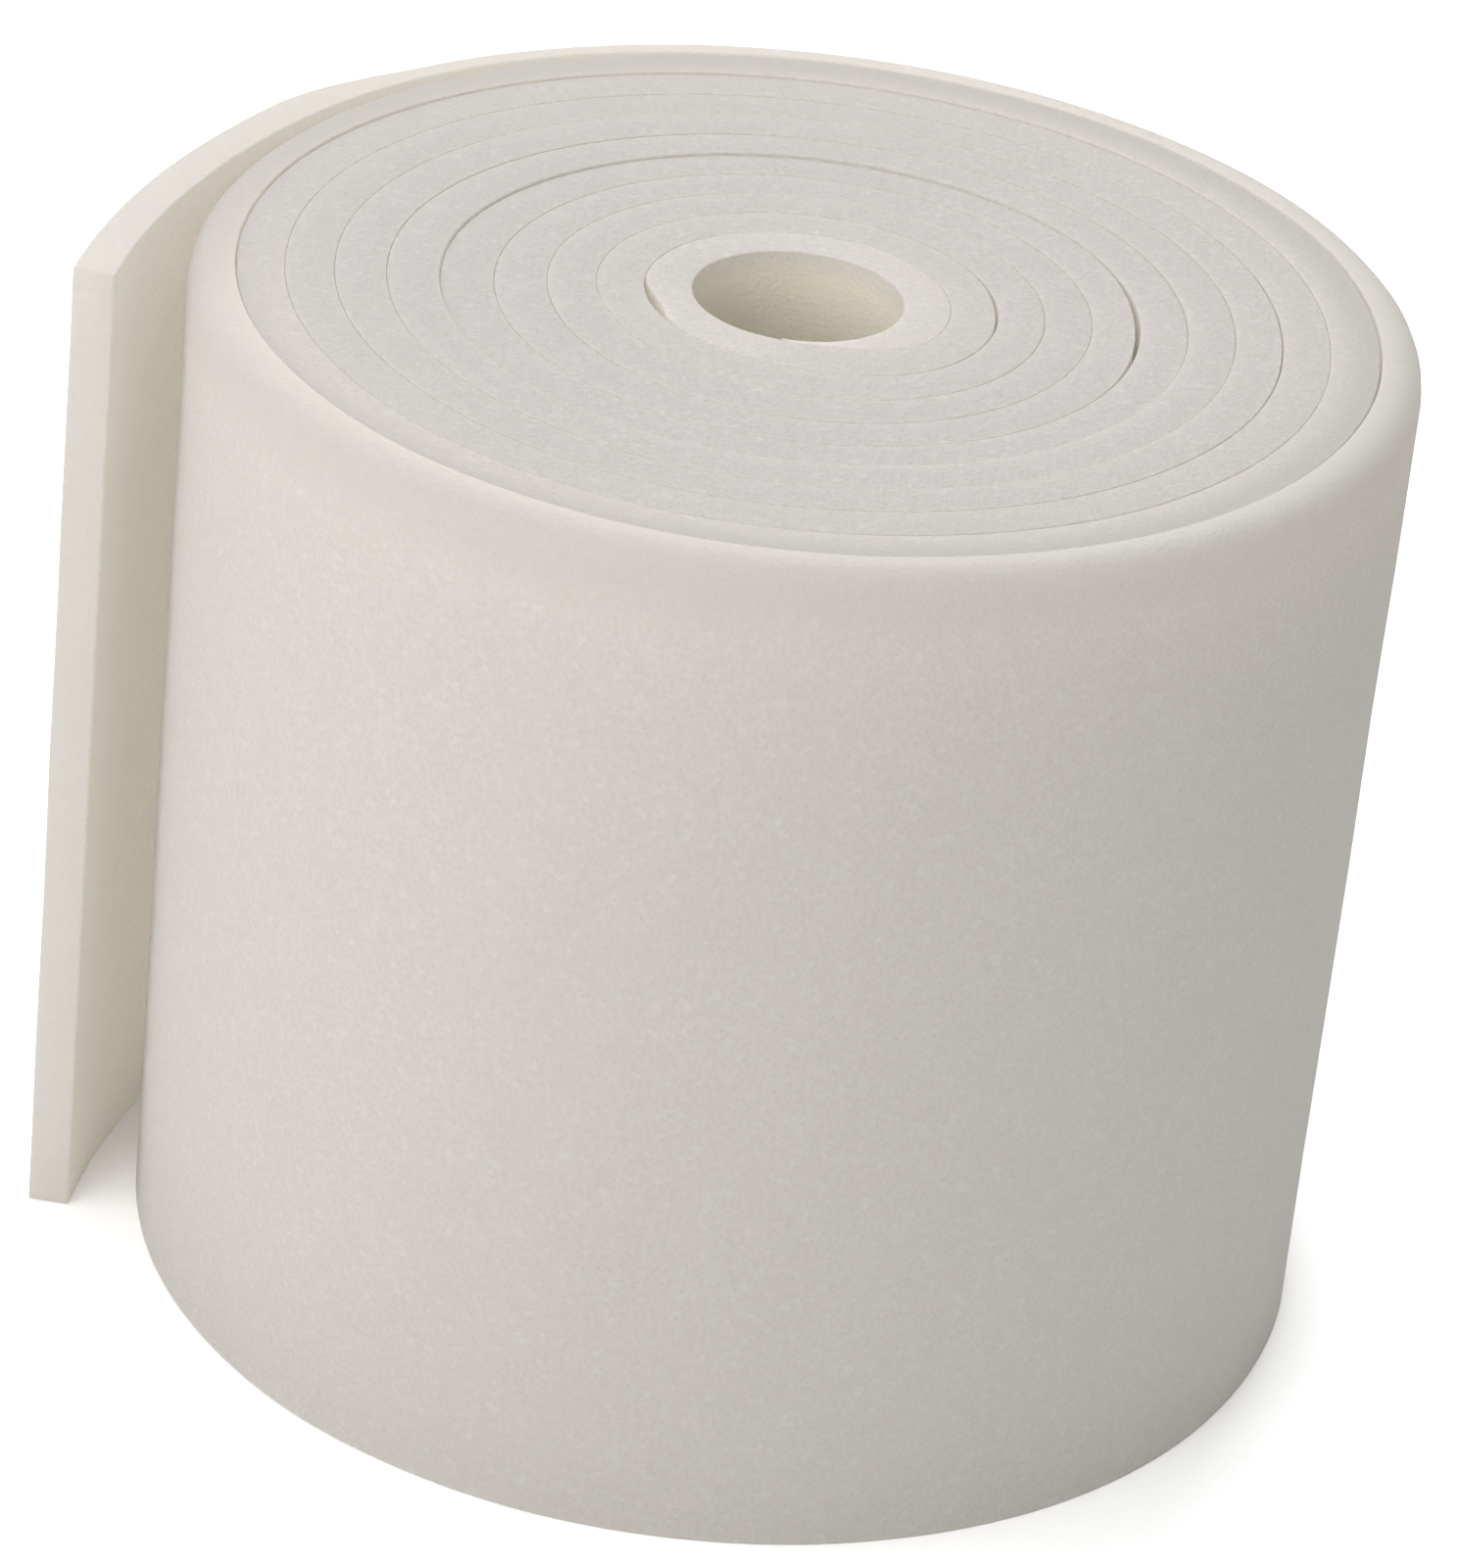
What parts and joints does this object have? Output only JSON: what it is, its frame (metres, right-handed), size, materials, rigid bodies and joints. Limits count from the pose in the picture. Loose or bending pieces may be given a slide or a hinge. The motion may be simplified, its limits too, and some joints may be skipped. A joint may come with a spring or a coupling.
{
  "type": "foam padding roll",
  "caption": "Soft foam padding strip wound into a roll with an open core and a free tail; the outer wrap peels off and the turns slide out into a cone.",
  "frame": {"origin": "on the axis of the open core, at the base of the roll", "axes": "+Z along the core, upwards; the free tail stands on the -X side and points towards -Y, the side the roll is usually seen from"},
  "size_m": [0.1237, 0.1171, 0.1],
  "materials": {
    "foam": "soft open-cell polyurethane foam, off-white, cut faces with fine pores"
  },
  "bodies": {
    "turn_01": {"turn_01": "foam"},
    "turn_02": {"turn_02": "foam"},
    "turn_03": {"turn_03": "foam"},
    "turn_04": {"turn_04": "foam"},
    "turn_05": {"turn_05": "foam"},
    "turn_06": {"turn_06": "foam"},
    "turn_07": {"turn_07": "foam"},
    "turn_08": {"turn_08": "foam"},
    "turn_09": {"turn_09": "foam"},
    "turn_10": {"turn_10": "foam"},
    "outer_wrap_1": {"outer_wrap_1": "foam"},
    "outer_wrap_2": {"outer_wrap_2": "foam"},
    "outer_wrap_3": {"outer_wrap_3": "foam"},
    "outer_wrap_4": {"outer_wrap_4": "foam"},
    "outer_wrap_5": {"outer_wrap_5": "foam"},
    "outer_wrap_6": {"outer_wrap_6": "foam"},
    "tail_1": {"tail_1": "foam"},
    "tail_2": {"tail_2": "foam"},
    "tail_3": {"tail_3": "foam"},
    "tail_4": {"tail_4": "foam"}
  },
  "joints": [
    {"name": "turn_09_lift", "type": "slide", "parent": "turn_10", "child": "turn_09", "axis": [0, 0, 1], "range_m": [0, 0.0035]},
    {"name": "turn_08_lift", "type": "slide", "parent": "turn_09", "child": "turn_08", "axis": [0, 0, 1], "range_m": [0, 0.0035]},
    {"name": "turn_07_lift", "type": "slide", "parent": "turn_08", "child": "turn_07", "axis": [0, 0, 1], "range_m": [0, 0.0035]},
    {"name": "turn_06_lift", "type": "slide", "parent": "turn_07", "child": "turn_06", "axis": [0, 0, 1], "range_m": [0, 0.0035]},
    {"name": "turn_05_lift", "type": "slide", "parent": "turn_06", "child": "turn_05", "axis": [0, 0, 1], "range_m": [0, 0.0035]},
    {"name": "turn_04_lift", "type": "slide", "parent": "turn_05", "child": "turn_04", "axis": [0, 0, 1], "range_m": [0, 0.0035]},
    {"name": "turn_03_lift", "type": "slide", "parent": "turn_04", "child": "turn_03", "axis": [0, 0, 1], "range_m": [0, 0.0035]},
    {"name": "turn_02_lift", "type": "slide", "parent": "turn_03", "child": "turn_02", "axis": [0, 0, 1], "range_m": [0, 0.0035]},
    {"name": "turn_01_lift", "type": "slide", "parent": "turn_02", "child": "turn_01", "axis": [0, 0, 1], "range_m": [0, 0.0035]},
    {"name": "outer_wrap_1_peel", "type": "hinge", "parent": "turn_10", "child": "outer_wrap_1", "pos_m": [0.05023, -0.029, 0], "axis": [0, 0, 1], "range_deg": [-30, 0], "stiffness_Nm_per_rad": 0.001},
    {"name": "outer_wrap_2_peel", "type": "hinge", "parent": "outer_wrap_1", "child": "outer_wrap_2", "pos_m": [0.05815, 0.00055, 0], "axis": [0, 0, 1], "range_deg": [-30, 0], "stiffness_Nm_per_rad": 0.001},
    {"name": "outer_wrap_3_peel", "type": "hinge", "parent": "outer_wrap_2", "child": "outer_wrap_3", "pos_m": [0.05023, 0.0301, 0], "axis": [0, 0, 1], "range_deg": [-30, 0], "stiffness_Nm_per_rad": 0.001},
    {"name": "outer_wrap_4_peel", "type": "hinge", "parent": "outer_wrap_3", "child": "outer_wrap_4", "pos_m": [0.0286, 0.05173, 0], "axis": [0, 0, 1], "range_deg": [-30, 0], "stiffness_Nm_per_rad": 0.001},
    {"name": "outer_wrap_5_peel", "type": "hinge", "parent": "outer_wrap_4", "child": "outer_wrap_5", "pos_m": [-0.00095, 0.05965, 0], "axis": [0, 0, 1], "range_deg": [-30, 0], "stiffness_Nm_per_rad": 0.001},
    {"name": "outer_wrap_6_peel", "type": "hinge", "parent": "outer_wrap_5", "child": "outer_wrap_6", "pos_m": [-0.0305, 0.05173, 0], "axis": [0, 0, 1], "range_deg": [-30, 0], "stiffness_Nm_per_rad": 0.001},
    {"name": "tail_1_curl", "type": "hinge", "parent": "outer_wrap_6", "child": "tail_1", "pos_m": [-0.0504, 0.0291, 0], "axis": [0, 0, 1], "range_deg": [-14, 2.4], "stiffness_Nm_per_rad": 0.003},
    {"name": "tail_2_curl", "type": "hinge", "parent": "tail_1", "child": "tail_2", "pos_m": [-0.05534, 0.01937, 0], "axis": [0, 0, 1], "range_deg": [-21, 3.6], "stiffness_Nm_per_rad": 0.003},
    {"name": "tail_3_curl", "type": "hinge", "parent": "tail_2", "child": "tail_3", "pos_m": [-0.05922, 0.00918, 0], "axis": [0, 0, 1], "range_deg": [-21, 3.6], "stiffness_Nm_per_rad": 0.003},
    {"name": "tail_4_curl", "type": "hinge", "parent": "tail_3", "child": "tail_4", "pos_m": [-0.06198, -0.00138, 0], "axis": [0, 0, 1], "range_deg": [-21, 3.6], "stiffness_Nm_per_rad": 0.003}
  ],
  "couplings": [
    {"joint": "turn_08_lift", "follows": "turn_09_lift", "ratio": 1},
    {"joint": "turn_07_lift", "follows": "turn_09_lift", "ratio": 1},
    {"joint": "turn_06_lift", "follows": "turn_09_lift", "ratio": 1},
    {"joint": "turn_05_lift", "follows": "turn_09_lift", "ratio": 1},
    {"joint": "turn_04_lift", "follows": "turn_09_lift", "ratio": 1},
    {"joint": "turn_03_lift", "follows": "turn_09_lift", "ratio": 1},
    {"joint": "turn_02_lift", "follows": "turn_09_lift", "ratio": 1},
    {"joint": "turn_01_lift", "follows": "turn_09_lift", "ratio": 1},
    {"joint": "outer_wrap_2_peel", "follows": "outer_wrap_1_peel", "ratio": 1},
    {"joint": "tail_2_curl", "follows": "tail_1_curl", "ratio": 1.5},
    {"joint": "tail_3_curl", "follows": "tail_1_curl", "ratio": 1.5},
    {"joint": "tail_4_curl", "follows": "tail_1_curl", "ratio": 1.5}
  ]
}
